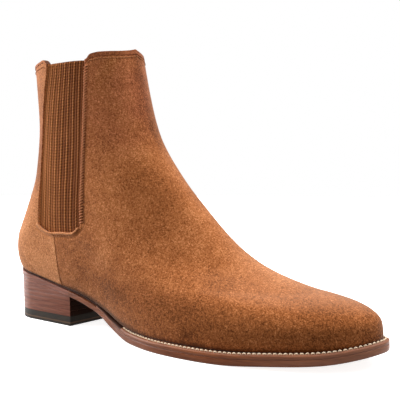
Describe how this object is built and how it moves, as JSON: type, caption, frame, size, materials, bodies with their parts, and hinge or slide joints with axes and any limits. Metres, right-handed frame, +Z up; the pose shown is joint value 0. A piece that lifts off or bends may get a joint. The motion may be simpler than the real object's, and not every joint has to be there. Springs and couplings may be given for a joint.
{
  "type": "chelsea boot",
  "caption": "Right-foot suede chelsea boot with elastic side gores, pointed round toe, welted leather sole and stacked heel.",
  "frame": {"origin": "middle of the heel's flat bottom face, which rests on the floor", "axes": "+X towards the toe, +Y towards the inner side of the foot, +Z up"},
  "size_m": [0.3009, 0.0952, 0.1992],
  "materials": {
    "suede": "tobacco suede with a short nap, matt, lighter where it is brushed",
    "elastic": "ribbed brown elastic webbing, matt",
    "lining_leather": "smooth tan lining leather, low sheen",
    "sole_leather": "burnished brown sole leather, satin",
    "welt_leather": "brown welt leather, satin",
    "dark_leather": "dark brown rand, satin",
    "stacked_leather": "stacked leather with fine horizontal lines, satin",
    "insole_leather": "natural insole leather, matt",
    "rubber": "black-brown rubber, fine texture",
    "brass_nails": "dull brass",
    "steel": "plain steel",
    "cork": "ground cork filling, matt",
    "stiffener": "stiff resin-soaked cloth, matt",
    "cream_thread": "waxed cream thread",
    "tonal_thread": "brown thread"
  },
  "bodies": {
    "boot_body": {"top_lift": "rubber", "top_lift_nails": "brass_nails", "heel_lift_1": "stacked_leather", "heel_lift_2": "stacked_leather", "heel_lift_3": "stacked_leather", "heel_lift_4": "stacked_leather", "heel_wedge_lower": "stacked_leather", "heel_wedge_upper": "stacked_leather", "heel_nails": "steel", "outsole": "sole_leather", "heel_rand": "dark_leather", "welt": "welt_leather", "welt_stitching": "cream_thread", "cork_filler": "cork", "shank": "steel", "insole": "insole_leather", "sock_liner": "lining_leather", "front_panel": "suede", "heel_quarter": "suede", "gore_lateral": "elastic", "gore_medial": "elastic", "gore_piping_lateral": "suede", "gore_piping_medial": "suede", "gore_stitching_lateral": "tonal_thread", "gore_stitching_medial": "tonal_thread", "topline_binding_front": "suede", "topline_stitching_front": "tonal_thread", "heel_counter": "stiffener", "toe_puff": "stiffener", "front_lining": "lining_leather", "heel_lining": "lining_leather"},
    "shaft_back": {"back_strip": "suede", "back_strip_lining": "lining_leather", "topline_binding_back": "suede", "topline_stitching_back": "tonal_thread"}
  },
  "joints": [
    {"name": "shaft_opening", "type": "hinge", "parent": "boot_body", "child": "shaft_back", "pos_m": [-0.028, 0, 0.097], "axis": [0, -1, 0], "range_deg": [0, 10], "stiffness_Nm_per_rad": 1.5, "deforming": ["gore_lateral", "gore_medial"]}
  ]
}
